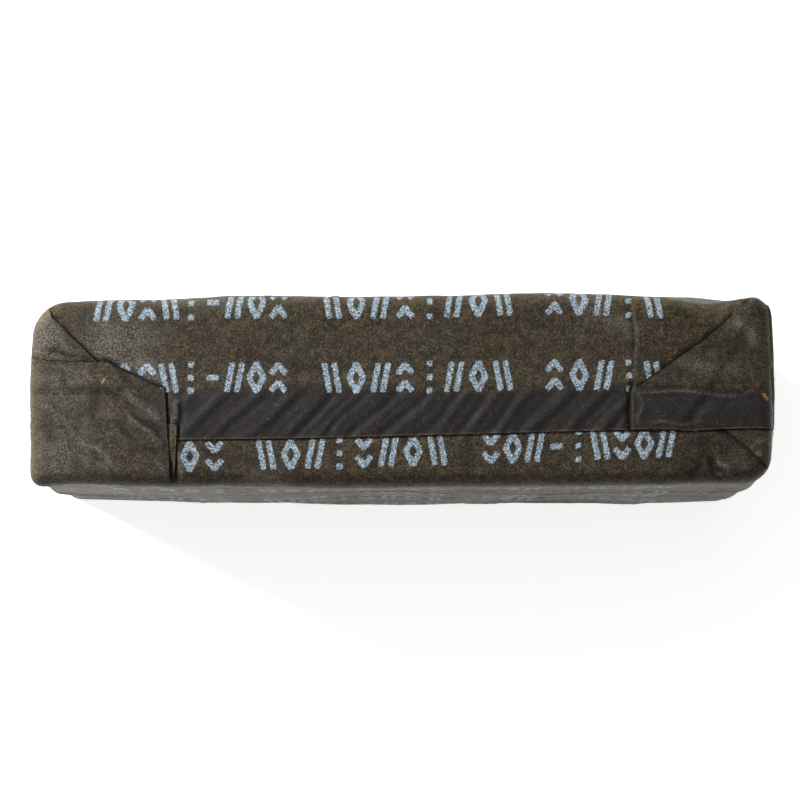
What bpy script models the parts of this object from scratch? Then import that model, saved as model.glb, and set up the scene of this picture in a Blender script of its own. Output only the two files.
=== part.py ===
"""Field dressing packet in waxed paper, standing on one of its narrow long sides.

Metres, +Z up. X runs along the packet, Y through its thickness with the front face at -Y,
and the folded closure is on top. The packet rests on its other narrow side, at Z = 0.
"""

import math

import bmesh
import bpy
from mathutils import Vector
from mathutils.geometry import tessellate_polygon

MM = 0.001

# Driving dimensions of the packet
LENGTH = 105.0 * MM
THICKNESS = 25.4 * MM
HEIGHT = 60.0 * MM
EDGE_ROUND = 1.6 * MM
CORNER_BACK_LEFT = 4.5 * MM
CORNER_BACK_RIGHT = 2.4 * MM
CORNER_FRONT_RIGHT = 3.6 * MM
CORNER_FRONT_LEFT = 2.0 * MM

# How far the padding swells each side
BACK_CROWN = 1.6 * MM
FRONT_CROWN = 1.3 * MM
END_CROWN = 0.7 * MM
TOP_CROWN = 0.4 * MM
CROWN_AT_FOLD = 0.45  # share of the crown that is left at the top and bottom folds

# Folded paper of the closure
PAPER = 0.20 * MM
CLEARANCE = 0.25 * MM
ROOT_DROP = 1.5 * MM  # how far a flap's root shows below its fold
BACK_FLAP_REACH = 18.9 * MM
FRONT_FLAP_REACH = 13.0 * MM
FLAP_FOLD_INSET = 3.0 * MM  # how far the ends of a flap's fold are from the packet's ends
FLAP_END_SLANT = 14.0 * MM
LEFT_TUCK_REACH = 19.6 * MM
LEFT_TUCK_WIDTH = 17.0 * MM
LEFT_TUCK_SHOULDER = 11.3 * MM
LEFT_TUCK_SLOPE = 4.0 * MM
LEFT_TUCK_HEM = 0.4 * MM
RIGHT_TUCK_REACH = 19.8 * MM
RIGHT_TUCK_WIDTH = 18.0 * MM
RIGHT_TUCK_RAW_EDGE = 5.5 * MM
UNDER_TUCK_PEEK = 1.2 * MM
UNDER_TUCK_TOP = 8.3 * MM
UNDER_TUCK_HEM = 1.2 * MM
UNDER_TUCK_HIDDEN = 10.0 * MM
CORNER_TUCK_REACH = 10.5 * MM
CORNER_TUCK_HIDDEN = 2.0 * MM

# Fineness of the meshes
SHEET_CELL = 2.6 * MM
CORNER_CELL = 0.9 * MM
CORNER_CELLS = 3
ROUND_STEPS = 3
ARC_STEPS = 5
LONG_SIDE_STEPS = 28
SHORT_SIDE_STEPS = 4
SNAP = 0.02 * MM

# A sheet keeps its full lift this far past the edge of the one below, then comes down
LIFT_MARGIN = 1.1 * SHEET_CELL
LIFT_RAMP = 1.2 * SHEET_CELL

LAYER = PAPER + CLEARANCE
MOST_LAYERS = 3
SKIN = LAYER
TOP_LEVEL = HEIGHT - TOP_CROWN - MOST_LAYERS * LAYER
HALF_X = LENGTH / 2 - END_CROWN - SKIN
HALF_Y = THICKNESS / 2 - SKIN
QUARTER_ARC = EDGE_ROUND * math.pi / 2
UNROLLED = QUARTER_ARC + ROOT_DROP - EDGE_ROUND  # what the closure gains past the core's edge

# Soft dents and swellings. x, y and z are shares of half the length, half the thickness and the
# height, radius is a share of the thickness, and the push is in shares of the thickness.
DENTS = [
    # x, y, z, radius, push x, push y, push z
    (0.830, 1.00, 1.00, 0.20, 0.000, -0.045, -0.040),
    (0.840, -0.90, 1.00, 0.18, 0.000, 0.020, -0.030),
    (-0.450, 1.00, 0.75, 0.45, 0.000, 0.030, 0.000),
    (0.400, 1.00, 0.70, 0.40, 0.000, 0.025, 0.000),
    (0.120, 1.00, 0.60, 0.35, 0.000, -0.030, 0.000),
    (-0.150, -1.00, 0.55, 0.45, 0.000, 0.025, 0.000),
    (0.550, -1.00, 0.35, 0.50, 0.000, 0.030, 0.000),
]

# The share of the height of each ring of the walls
WALL_LEVELS = (0.10, 0.22, 0.36, 0.50, 0.64, 0.78, 0.88)
# How far in each ring of the two narrow faces lies, as a share of the way to the middle
CAP_RINGS = (0.30, 0.62, 0.88)


def clear_scene():
    for obj in list(bpy.data.objects):
        bpy.data.objects.remove(obj, do_unlink=True)


def paper_material(name, color, roughness):
    material = bpy.data.materials.new(name)
    material.use_nodes = True
    shader = material.node_tree.nodes["Principled BSDF"]
    shader.inputs["Base Color"].default_value = (*color, 1.0)
    shader.inputs["Roughness"].default_value = roughness
    shader.inputs["Metallic"].default_value = 0.0
    return material


def corner_radius(x, y):
    """The plan radius of the core's corner in the quadrant of this point."""
    if y > 0:
        outer = CORNER_BACK_LEFT if x < 0 else CORNER_BACK_RIGHT
    else:
        outer = CORNER_FRONT_LEFT if x < 0 else CORNER_FRONT_RIGHT
    return max(outer - SKIN, EDGE_ROUND)


def past_flat(x, y):
    """How far a point of the unrolled closure is past the flat of the top, and which way is out."""
    radius = corner_radius(x, y) - EDGE_ROUND
    side_x = math.copysign(1.0, x)
    side_y = math.copysign(1.0, y)
    over_x = abs(x) - (HALF_X - EDGE_ROUND) + radius
    over_y = abs(y) - (HALF_Y - EDGE_ROUND) + radius
    if over_x > 0 and over_y > 0:
        reach = math.hypot(over_x, over_y)
        return reach - radius, Vector((side_x * over_x / reach, side_y * over_y / reach, 0))
    if over_x > over_y:
        return over_x - radius, Vector((side_x, 0, 0))
    return over_y - radius, Vector((0, side_y, 0))


def on_core(x, y, offset):
    """The place of a point of the unrolled closure, this far off the core's surface."""
    past, out = past_flat(x, y)
    if past <= 0:
        return Vector((x, y, TOP_LEVEL + offset))
    flat = Vector((x, y, 0)) - out * past
    turn = min(past / EDGE_ROUND, math.pi / 2)
    reach = EDGE_ROUND * math.sin(turn) + offset * math.sin(turn)
    level = TOP_LEVEL - EDGE_ROUND + (EDGE_ROUND + offset) * math.cos(turn)
    place = flat + out * reach
    place.z = level - max(past - QUARTER_ARC, 0)
    return place


def swell(place):
    """The plain rounded box turned into the soft packet: crowned sides, then dents."""
    along = min(abs(2 * place.x / LENGTH), 1.0)
    across = max(-1.0, min(2 * place.y / THICKNESS, 1.0))
    up = max(0.0, min(place.z / HEIGHT, 1.0))
    crown = BACK_CROWN if place.y > 0 else FRONT_CROWN
    rise = CROWN_AT_FOLD + (1 - CROWN_AT_FOLD) * math.sin(math.pi * up)
    y = place.y + crown * across * (1 - along**2.4) * rise
    x = place.x + math.copysign(END_CROWN, place.x) * along**6 * (1 - across**2)
    z = place.z + TOP_CROWN * (1 - across**2) * (1 - along**4) * up**6
    moved = Vector((x, y, z))
    for share_x, share_y, share_z, radius, push_x, push_y, push_z in DENTS:
        centre = Vector((share_x * LENGTH / 2, share_y * THICKNESS / 2, share_z * HEIGHT))
        near = math.exp(-((place - centre).length / (radius * THICKNESS)) ** 2)
        moved += Vector((push_x, push_y, push_z)) * THICKNESS * near * min(1.0, 4 * up)
    return moved


def rounded_outline(grow):
    """The core's plan outline, grown by this much, counter-clockwise from the front right."""
    corners = [
        (1, -1, CORNER_FRONT_RIGHT, -90, SHORT_SIDE_STEPS),
        (1, 1, CORNER_BACK_RIGHT, 0, LONG_SIDE_STEPS),
        (-1, 1, CORNER_BACK_LEFT, 90, SHORT_SIDE_STEPS),
        (-1, -1, CORNER_FRONT_LEFT, 180, LONG_SIDE_STEPS),
    ]
    arcs = []
    for side_x, side_y, outer, start, _ in corners:
        radius = max(outer - SKIN, EDGE_ROUND) + grow
        centre_x = side_x * (HALF_X + grow - radius)
        centre_y = side_y * (HALF_Y + grow - radius)
        arcs.append([
            (
                centre_x + radius * math.cos(math.radians(start + 90 * step / ARC_STEPS)),
                centre_y + radius * math.sin(math.radians(start + 90 * step / ARC_STEPS)),
            )
            for step in range(ARC_STEPS + 1)
        ])
    points = []
    for index, arc in enumerate(arcs):
        points += arc
        start = arc[-1]
        end = arcs[(index + 1) % len(arcs)][0]
        steps = corners[index][4]
        for step in range(1, steps):
            share = step / steps
            points.append((
                start[0] + (end[0] - start[0]) * share,
                start[1] + (end[1] - start[1]) * share,
            ))
    return points


def cap_ring(share, inset, level):
    """A ring of a narrow face, this share of the way in to the middle line."""
    shrink_x = 1 - share * (HALF_Y - inset) / (HALF_X - inset)
    return [Vector((x * shrink_x, y * (1 - share), level)) for x, y in rounded_outline(-inset)]


def pad_rings():
    """The rings of the padded packet, from the middle of its base to the middle of its top."""
    rings = [cap_ring(share, EDGE_ROUND - SKIN, 0.0) for share in reversed(CAP_RINGS)]
    for step in range(ROUND_STEPS + 1):
        turn = math.pi / 2 * step / ROUND_STEPS
        inset = EDGE_ROUND * (1 - math.sin(turn)) - SKIN
        level = EDGE_ROUND * (1 - math.cos(turn))
        rings.append([Vector((x, y, level)) for x, y in rounded_outline(-inset)])
    shoulder = TOP_LEVEL - EDGE_ROUND - ROOT_DROP - CLEARANCE
    rise = shoulder - EDGE_ROUND
    for share in WALL_LEVELS:
        rings.append([
            Vector((x, y, EDGE_ROUND + rise * share)) for x, y in rounded_outline(SKIN)
        ])
    rings.append([Vector((x, y, shoulder - SKIN)) for x, y in rounded_outline(SKIN)])
    rings.append([Vector((x, y, shoulder)) for x, y in rounded_outline(0.0)])
    for step in range(ROUND_STEPS, -1, -1):
        turn = math.pi / 2 * step / ROUND_STEPS
        inset = EDGE_ROUND * (1 - math.sin(turn))
        level = TOP_LEVEL - EDGE_ROUND * (1 - math.cos(turn))
        rings.append([Vector((x, y, level)) for x, y in rounded_outline(-inset)])
    rings += [cap_ring(share, EDGE_ROUND, TOP_LEVEL) for share in CAP_RINGS]
    return rings


def make_wrapped_pad():
    mesh = bmesh.new()
    loops = []
    for ring in pad_rings():
        loops.append([mesh.verts.new(swell(place)) for place in ring])
    count = len(loops[0])
    for lower, upper in zip(loops, loops[1:]):
        for index in range(count):
            after = (index + 1) % count
            mesh.faces.new((lower[index], lower[after], upper[after], upper[index]))
    for loop in (list(reversed(loops[0])), loops[-1]):
        flat = [Vector((vert.co.x, vert.co.y, 0)) for vert in loop]
        for triple in tessellate_polygon([flat]):
            mesh.faces.new([loop[corner] for corner in triple])
    bmesh.ops.recalc_face_normals(mesh, faces=mesh.faces)
    return mesh


def clipped(outline, limit):
    """The part of an outline inside a convex counter-clockwise limit."""
    kept = list(outline)
    for index, start in enumerate(limit):
        end = limit[(index + 1) % len(limit)]
        edge = (end[0] - start[0], end[1] - start[1])

        def inside(point):
            return edge[0] * (point[1] - start[1]) - edge[1] * (point[0] - start[0])

        result = []
        for here, there in zip(kept, kept[1:] + kept[:1]):
            depth_here = inside(here)
            depth_there = inside(there)
            if depth_here >= 0:
                result.append(here)
            if depth_here * depth_there < 0:
                share = depth_here / (depth_here - depth_there)
                result.append((
                    here[0] + (there[0] - here[0]) * share,
                    here[1] + (there[1] - here[1]) * share,
                ))
        kept = result
    return kept


def distance_outside(x, y, outline):
    """How far a point is outside an outline, and 0 inside it."""
    nearest = math.inf
    inside = False
    for (x1, y1), (x2, y2) in zip(outline, outline[1:] + outline[:1]):
        run_x = x2 - x1
        run_y = y2 - y1
        square = run_x**2 + run_y**2
        share = max(0.0, min(1.0, ((x - x1) * run_x + (y - y1) * run_y) / square)) if square else 0
        nearest = min(nearest, math.hypot(x - x1 - share * run_x, y - y1 - share * run_y))
        if (y1 > y) != (y2 > y) and x < x1 + (y - y1) * run_x / run_y:
            inside = not inside
    return 0.0 if inside else nearest


def lift(x, y, below):
    """How many layers a sheet is raised by the sheets that it lies on."""
    total = 0.0
    for outline in below:
        past = (distance_outside(x, y, outline) - LIFT_MARGIN) / LIFT_RAMP
        share = 1 - max(0.0, min(past, 1.0))
        total += share * share * (3 - 2 * share)
    return total


def cut_lines(half, spread):
    """Where a sheet is divided along one axis: even cells on the flat, and steps round the fold."""
    flat = half - EDGE_ROUND
    cells = max(1, round(2 * flat / SHEET_CELL))
    lines = [-flat + 2 * flat * step / cells for step in range(cells + 1)]
    for step in range(1, CORNER_CELLS + 1):
        lines += [flat - CORNER_CELL * step, CORNER_CELL * step - flat]
    for step in range(1, ROUND_STEPS + 1):
        turn = flat + QUARTER_ARC * step / ROUND_STEPS
        lines += [turn, -turn]
    return [line for line in lines if abs(line) < spread]


def make_sheet(outline, below):
    """A folded sheet of this outline on the unrolled closure, over the sheets below it."""
    limit = rounded_outline(UNROLLED)
    plan = bmesh.new()
    plan.faces.new([plan.verts.new((x, y, 0)) for x, y in clipped(outline, limit)])
    spread_x = HALF_X + UNROLLED
    spread_y = HALF_Y + UNROLLED
    for axis, half, spread in ((0, HALF_X, spread_x), (1, HALF_Y, spread_y)):
        for line in cut_lines(half, spread):
            place = [0.0, 0.0, 0.0]
            normal = [0.0, 0.0, 0.0]
            place[axis] = line
            normal[axis] = 1.0
            everything = plan.verts[:] + plan.edges[:] + plan.faces[:]
            bmesh.ops.bisect_plane(
                plan, geom=everything, dist=SNAP, plane_co=place, plane_no=normal
            )
    bmesh.ops.remove_doubles(plan, verts=plan.verts, dist=SNAP)
    bmesh.ops.triangulate(plan, faces=plan.faces)
    plan.verts.index_update()
    sheet = bmesh.new()
    upper = []
    lower = []
    for vert in plan.verts:
        raised = CLEARANCE + LAYER * lift(vert.co.x, vert.co.y, below)
        lower.append(sheet.verts.new(swell(on_core(vert.co.x, vert.co.y, raised))))
        upper.append(sheet.verts.new(swell(on_core(vert.co.x, vert.co.y, raised + PAPER))))
    for face in plan.faces:
        corners = [vert.index for vert in face.verts]
        sheet.faces.new([upper[index] for index in corners])
        sheet.faces.new([lower[index] for index in reversed(corners)])
    for edge in plan.edges:
        if len(edge.link_faces) == 1:
            first, second = (vert.index for vert in edge.verts)
            sheet.faces.new((upper[first], upper[second], lower[second], lower[first]))
    plan.free()
    bmesh.ops.recalc_face_normals(sheet, faces=sheet.faces)
    return sheet


def flap_outline(side, reach):
    """A closing flap from the back (side 1) or front (-1) fold, with slanted ends."""
    fold = side * (HALF_Y + UNROLLED)
    edge = side * (THICKNESS / 2 - reach)
    wide = LENGTH / 2 - FLAP_FOLD_INSET
    narrow = LENGTH / 2 - FLAP_END_SLANT
    rise = abs(fold - edge) / THICKNESS
    end = wide - (wide - narrow) * min(rise, 1.0)
    return [(-wide, fold), (wide, fold), (end, edge), (-end, edge)]


def left_tuck_outline():
    out = -(HALF_X + UNROLLED)
    raw = -LENGTH / 2 + LEFT_TUCK_REACH
    top = -THICKNESS / 2 + LEFT_TUCK_WIDTH
    hem = -THICKNESS / 2 + LEFT_TUCK_HEM
    shoulder = -LENGTH / 2 + LEFT_TUCK_SHOULDER
    return [(out, top), (shoulder, top), (raw, top - LEFT_TUCK_SLOPE), (raw, hem), (out, hem)]


def left_under_tuck_outline():
    raw = -LENGTH / 2 + LEFT_TUCK_REACH
    edge = raw + UNDER_TUCK_PEEK
    top = -THICKNESS / 2 + UNDER_TUCK_TOP
    hem = -THICKNESS / 2 + UNDER_TUCK_HEM
    hidden = raw - UNDER_TUCK_HIDDEN
    return [(hidden, top), (edge, top), (edge, hem), (hidden, hem)]


def left_corner_tuck_outline():
    """The triangle from the back left corner, and a strip of it hidden under the left tuck."""
    out = -(HALF_X + UNROLLED)
    fold = HALF_Y + UNROLLED
    bottom = -THICKNESS / 2 + LEFT_TUCK_WIDTH - CORNER_TUCK_HIDDEN
    tip = -LENGTH / 2 + LEFT_TUCK_SHOULDER
    corner = -LENGTH / 2 + CORNER_BACK_LEFT / 2
    return [(out, fold), (corner, fold), (corner, THICKNESS / 2 - SKIN), (tip, bottom), (out, bottom)]


def right_tuck_outline():
    out = HALF_X + UNROLLED
    fold = HALF_Y + UNROLLED
    raw = LENGTH / 2 - RIGHT_TUCK_REACH
    hem = THICKNESS / 2 - RIGHT_TUCK_WIDTH
    corner = LENGTH / 2 - CORNER_BACK_RIGHT
    top = THICKNESS / 2 - SKIN
    return [(out, fold), (corner, fold), (corner, top), (raw, hem + RIGHT_TUCK_RAW_EDGE), (raw, hem), (out, hem)]


def right_corner_tuck_outline():
    """The triangle at the front right corner, and a strip of it hidden under the right tuck."""
    out = HALF_X + UNROLLED
    top = THICKNESS / 2 - RIGHT_TUCK_WIDTH + CORNER_TUCK_HIDDEN
    corner = -THICKNESS / 2 + CORNER_FRONT_RIGHT / 2
    tip = LENGTH / 2 - CORNER_TUCK_REACH
    return [(out, corner), (out, top), (tip, top), (LENGTH / 2 - CORNER_FRONT_RIGHT / 3, corner)]


def add_object(name, mesh, material):
    data = bpy.data.meshes.new(name)
    mesh.to_mesh(data)
    mesh.free()
    data.shade_smooth()
    data.set_sharp_from_angle(angle=math.radians(40))
    data.materials.append(material)
    obj = bpy.data.objects.new(name, data)
    bpy.context.collection.objects.link(obj)


def make_packet():
    clear_scene()
    pad_paper = paper_material("pad_paper", (0.070, 0.055, 0.038), 0.55)
    add_object("wrapped_pad", make_wrapped_pad(), pad_paper)
    # Each sheet with its outline and colour, from the bottom layer up
    sheets = [
        ("front_flap", flap_outline(-1, FRONT_FLAP_REACH), (0.062, 0.050, 0.035)),
        ("back_flap", flap_outline(1, BACK_FLAP_REACH), (0.068, 0.054, 0.038)),
        ("left_corner_tuck", left_corner_tuck_outline(), (0.110, 0.098, 0.076)),
        ("right_corner_tuck", right_corner_tuck_outline(), (0.058, 0.047, 0.033)),
        ("left_under_tuck", left_under_tuck_outline(), (0.070, 0.060, 0.050)),
        ("left_tuck", left_tuck_outline(), (0.085, 0.074, 0.058)),
        ("right_tuck", right_tuck_outline(), (0.050, 0.040, 0.030)),
    ]
    below = []
    for name, outline, color in sheets:
        material = paper_material(name + "_paper", color, 0.5)
        add_object(name, make_sheet(outline, below), material)
        below.append(outline)


make_packet()
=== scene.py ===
"""Looks of the field dressing packet: waxed paper, worn folds and a printed pattern of plain marks."""

import math

import bmesh
import bpy
import numpy as np
from mathutils import Matrix, Vector


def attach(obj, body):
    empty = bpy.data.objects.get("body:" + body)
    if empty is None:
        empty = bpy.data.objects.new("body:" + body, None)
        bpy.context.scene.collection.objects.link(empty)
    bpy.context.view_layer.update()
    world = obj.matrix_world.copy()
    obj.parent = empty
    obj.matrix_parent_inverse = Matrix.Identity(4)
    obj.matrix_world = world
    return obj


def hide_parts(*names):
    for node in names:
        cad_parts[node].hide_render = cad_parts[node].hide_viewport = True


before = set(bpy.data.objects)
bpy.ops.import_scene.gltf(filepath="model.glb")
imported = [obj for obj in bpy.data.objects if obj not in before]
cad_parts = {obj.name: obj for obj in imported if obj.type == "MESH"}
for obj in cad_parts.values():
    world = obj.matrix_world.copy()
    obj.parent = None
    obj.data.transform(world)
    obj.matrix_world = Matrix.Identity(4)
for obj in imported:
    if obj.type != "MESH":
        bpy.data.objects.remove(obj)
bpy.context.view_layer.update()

MM = 0.001

# The packet's driving sizes, as in its construction
LENGTH = 105.0 * MM
THICKNESS = 25.4 * MM
HEIGHT = 60.0 * MM
EDGE_ROUND = 1.6 * MM
CORNER_BACK_LEFT = 4.5 * MM
CORNER_BACK_RIGHT = 2.4 * MM
CORNER_FRONT_RIGHT = 3.6 * MM
CORNER_FRONT_LEFT = 2.0 * MM
BACK_CROWN = 1.6 * MM
FRONT_CROWN = 1.3 * MM
END_CROWN = 0.7 * MM
TOP_CROWN = 0.4 * MM
CROWN_AT_FOLD = 0.45
SKIN = 0.45 * MM
LAYERS = 3
TOP_LEVEL = HEIGHT - TOP_CROWN - LAYERS * SKIN
HALF_X = LENGTH / 2 - END_CROWN - SKIN
HALF_Y = THICKNESS / 2 - SKIN
FLAT_X = HALF_X - EDGE_ROUND
FLAT_Y = HALF_Y - EDGE_ROUND
QUARTER_ARC = EDGE_ROUND * math.pi / 2

# The paper as it is drawn here
PAPER = 0.17 * MM
SHEET_BASE = 0.45 * MM  # the lowest sheet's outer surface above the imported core
SHEET_STEP = 0.27 * MM  # what each sheet below adds
LIFT_MARGIN = 0.5 * MM
LIFT_RAMP = 1.6 * MM
ROOT_SINK = 0.06 * MM  # how far a flap's root runs under the surface that it grows from
ROOT_LENGTH = 1.6 * MM
ROOT_BEGIN = 0.25 * QUARTER_ARC  # past the flat, where a sheet starts to close in on the wrapper
ROOT_END = QUARTER_ARC + 0.3 * ROOT_LENGTH
ROOT_SLOPE = 0.25  # how fast the end of the root goes in under that surface
CREASE_GAIN = 1.8  # the creases stand out this much more than the table below says
FULL_CREASE = 0.10 * MM  # a crease this high gets all of the painted highlight on its ridge, and a groove this deep all of the painted shade
WRINKLE_HEIGHT = 0.085 * MM
RAW_EDGE_WIDTH = 0.12 * MM
FIBRE_RADIUS = 0.030 * MM
FIBRE_RINGS = 5
CELL = 0.30 * MM
WALL_CELL = 0.55 * MM

# The printed rows
CAP_HEIGHT = 4.65 * MM
ROW_PITCH = 9.83 * MM
STROKE_OVERRUN = 0.12  # how far a stroke's ends run on, as a share of its width
STROKE = 0.78 * MM
MARK_WIDTH = 2.5 * MM
NOTHING_NEAR = 2.0 * MM  # the distance kept where there is no stroke or flake
BACK_BASELINE = -0.42 * MM
BACK_PRINT_END = -2.0 * MM  # the band below this was sealed and carries no print
FRONT_BASELINE = -5.64 * MM
FRONT_ROW_SLANT = 0.0248
FRONT_ROW_SHIFT = -4.9 * MM  # how far the turned rows lie along X from the others, mirrored
WALL_INK = 0.40  # the print on the large faces is paler
WALL_PRINT_LOW = 2.0 * MM  # no print on the large faces below this
WALL_PRINT_PAST = 0.4 * MM  # how far it runs on above their shoulder

DENTS = [
    # x, y, z, radius, push x, push y, push z
    (0.825, 1.00, 1.00, 0.15, 0.000, -0.045, -0.050),
    (0.800, 1.00, 0.74, 0.32, 0.000, 0.050, 0.000),
    (0.960, 1.00, 0.97, 0.20, 0.004, 0.032, 0.000),
    (0.450, 1.00, 0.96, 0.65, 0.000, 0.026, 0.000),
    (0.800, -1.00, 0.10, 0.50, 0.000, -0.050, 0.000),
    (-0.990, -0.97, 0.98, 0.14, -0.022, -0.030, 0.000),
    (-0.930, -1.00, 0.00, 0.35, 0.020, 0.030, 0.000),
    (0.840, -0.90, 1.00, 0.18, 0.000, 0.020, -0.030),
    (-0.450, 1.00, 0.75, 0.45, 0.000, 0.030, 0.000),
    (0.400, 1.00, 0.70, 0.40, 0.000, 0.025, 0.000),
    (0.120, 1.00, 0.60, 0.35, 0.000, -0.030, 0.000),
    (-0.150, -1.00, 0.55, 0.45, 0.000, 0.025, 0.000),
    (0.550, -1.00, 0.35, 0.50, 0.000, 0.030, 0.000),
]


# Numbers on whole arrays of points
def smooth(low, high, value):
    share = np.clip((value - low) / (high - low), 0.0, 1.0)
    return share * share * (3 - 2 * share)


def lattice(ix, iy, iz, seed):
    """A repeatable number from -1 to 1 for each corner of a grid."""
    key = (ix * 73856093) ^ (iy * 19349663) ^ (iz * 83492791) ^ (seed * 2654435761)
    key = key & 0xFFFFFFFF
    key = (key ^ (key >> 15)) * 2246822519 & 0xFFFFFFFF
    key = (key ^ (key >> 13)) * 3266489917 & 0xFFFFFFFF
    key = key ^ (key >> 16)
    return (key & 0xFFFF) / 32767.5 - 1.0


def noise(places, size, seed):
    """Smooth noise from -1 to 1, with features of this size in metres."""
    cell = places / size + 1000.0
    base = np.floor(cell).astype(np.int64)
    part = cell - base
    part = part * part * (3 - 2 * part)
    total = np.zeros(places.shape[:-1])
    for dx in (0, 1):
        for dy in (0, 1):
            for dz in (0, 1):
                weight = (
                    (part[..., 0] if dx else 1 - part[..., 0])
                    * (part[..., 1] if dy else 1 - part[..., 1])
                    * (part[..., 2] if dz else 1 - part[..., 2])
                )
                corner = lattice(base[..., 0] + dx, base[..., 1] + dy, base[..., 2] + dz, seed)
                total += weight * corner
    return total


def past_flat(x, y):
    """How far each point of the unrolled closure is past the flat of the top, and the way out."""
    outer = np.where(
        y > 0,
        np.where(x < 0, CORNER_BACK_LEFT, CORNER_BACK_RIGHT),
        np.where(x < 0, CORNER_FRONT_LEFT, CORNER_FRONT_RIGHT),
    )
    radius = np.maximum(outer - SKIN, EDGE_ROUND) - EDGE_ROUND
    side_x = np.where(x < 0, -1.0, 1.0)
    side_y = np.where(y < 0, -1.0, 1.0)
    over_x = np.abs(x) - FLAT_X + radius
    over_y = np.abs(y) - FLAT_Y + radius
    reach = np.hypot(over_x, over_y)
    corner = (over_x > 0) & (over_y > 0)
    along_x = over_x > over_y
    safe = np.where(reach > 0, reach, 1.0)
    past = np.where(corner, reach - radius, np.where(along_x, over_x, over_y) - radius)
    out_x = side_x * np.where(corner, over_x / safe, np.where(along_x, 1.0, 0.0))
    out_y = side_y * np.where(corner, over_y / safe, np.where(along_x, 0.0, 1.0))
    return past, out_x, out_y


def on_core(x, y, offset):
    """Places on the unrolled closure, this far off the core, and the way out of it there."""
    past, out_x, out_y = past_flat(x, y)
    beyond = np.maximum(past, 0.0)
    turn = np.minimum(beyond / EDGE_ROUND, math.pi / 2)
    reach = (EDGE_ROUND + offset) * np.sin(turn)
    places = np.stack([
        x - out_x * beyond + out_x * reach,
        y - out_y * beyond + out_y * reach,
        TOP_LEVEL - EDGE_ROUND + (EDGE_ROUND + offset) * np.cos(turn)
        - np.maximum(past - QUARTER_ARC, 0.0),
    ], axis=-1)
    normals = np.stack([out_x * np.sin(turn), out_y * np.sin(turn), np.cos(turn)], axis=-1)
    return places, normals


def swell(places):
    """The plain rounded box turned into the soft packet, crowned and dented."""
    x, y, z = places[..., 0], places[..., 1], places[..., 2]
    along = np.minimum(np.abs(2 * x / LENGTH), 1.0)
    across = np.clip(2 * y / THICKNESS, -1.0, 1.0)
    up = np.clip(z / HEIGHT, 0.0, 1.0)
    crown = np.where(y > 0, BACK_CROWN, FRONT_CROWN)
    rise = CROWN_AT_FOLD + (1 - CROWN_AT_FOLD) * np.sin(math.pi * up)
    moved = np.stack([
        x + np.sign(x) * END_CROWN * along**6 * (1 - across**2),
        y + crown * across * (1 - along**2.4) * rise,
        z + TOP_CROWN * (1 - across**2) * (1 - along**4) * up**6,
    ], axis=-1)
    for share_x, share_y, share_z, radius, push_x, push_y, push_z in DENTS:
        centre = np.array([share_x * LENGTH / 2, share_y * THICKNESS / 2, share_z * HEIGHT])
        away = np.linalg.norm(places - centre, axis=-1)
        near = np.exp(-((away / (radius * THICKNESS)) ** 2)) * np.minimum(1.0, 4 * up)
        moved += near[..., None] * np.array([push_x, push_y, push_z]) * THICKNESS
    return moved


def distance_to_path(x, y, path):
    """How far each point is from an open path of corners."""
    nearest = np.full(np.shape(x), np.inf)
    for (x1, y1), (x2, y2) in zip(path, path[1:]):
        run_x = x2 - x1
        run_y = y2 - y1
        share = ((x - x1) * run_x + (y - y1) * run_y) / (run_x**2 + run_y**2)
        share = np.clip(share, 0.0, 1.0)
        nearest = np.minimum(nearest, np.hypot(x - x1 - share * run_x, y - y1 - share * run_y))
    return nearest


def inside_outline(x, y, outline):
    inside = np.zeros(np.shape(x), bool)
    for (x1, y1), (x2, y2) in zip(outline, outline[1:] + outline[:1]):
        if y1 == y2:
            continue
        crosses = (y1 > y) != (y2 > y)
        inside ^= crosses & (x < x1 + (y - y1) * (x2 - x1) / (y2 - y1))
    return inside


def lift(x, y, below):
    total = np.zeros(np.shape(x))
    for outline in below:
        away = distance_to_path(x, y, outline + outline[:1])
        away = np.where(inside_outline(x, y, outline), 0.0, away)
        total += 1 - smooth(LIFT_MARGIN, LIFT_MARGIN + LIFT_RAMP, away)
    return total


# The photograph's frame: places on the narrow face, from pixels to metres
PIXELS_PER_METRE = 7120.0
FACE_MIDDLE_PX = (402.0, 392.0)


def seen(*pixels):
    """Places on the narrow face for points named by their pixels in the photograph."""
    return [
        (
            (across - FACE_MIDDLE_PX[0]) / PIXELS_PER_METRE,
            (FACE_MIDDLE_PX[1] - down) / PIXELS_PER_METRE,
        )
        for across, down in pixels
    ]


# Where the sheets of the closure end, as the photograph shows them
LEFT_FOLD = seen((53, 318), (64, 328), (72, 337), (81, 345), (90, 354), (99, 362), (108, 368))
CORNER_HEM = seen((26, 353), (40, 358), (50, 361), (70, 362), (99, 363), (107, 362))
TUCK_SHOULDER = seen((107, 362), (117, 368), (133, 375), (150, 383), (165, 390))
TUCK_RAW_EDGE = seen((165, 390), (167, 423), (169, 455), (170, 481))
PEEK_EDGE = seen((160, 422), (168, 423), (177, 424.5), (175.5, 455), (174, 476))
SEAM = seen((150, 438), (182, 437.7), (300, 435.7), (430, 433.5), (530, 431.7), (620, 430), (700, 429))
RIGHT_FOLD = seen((770, 287), (754, 299), (737, 312), (722, 325), (713, 333), (700, 345), (640, 388))
RIGHT_RAW_EDGE = seen((640, 388), (633, 392), (632, 410), (632.5, 429))
RIGHT_GAP = seen((632, 387), (630, 395), (629.5, 410), (630, 431))
CORNER_FLAP_TOP = seen((34, 250), (42, 290), (47, 304), (50, 311))  # over the back edge, out of sight
LEFT_SLOT = seen((171.5, 460), (172.5, 470), (173.5, 482))
PEEK_SHADOW = seen((178.5, 425), (179, 436))
CORNER_HOLE = seen((735, 309), (747, 307))
RIGHT_HEM = seen((632.5, 429), (660, 428), (690, 430.5), (722, 429), (750, 428), (790, 429))
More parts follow.
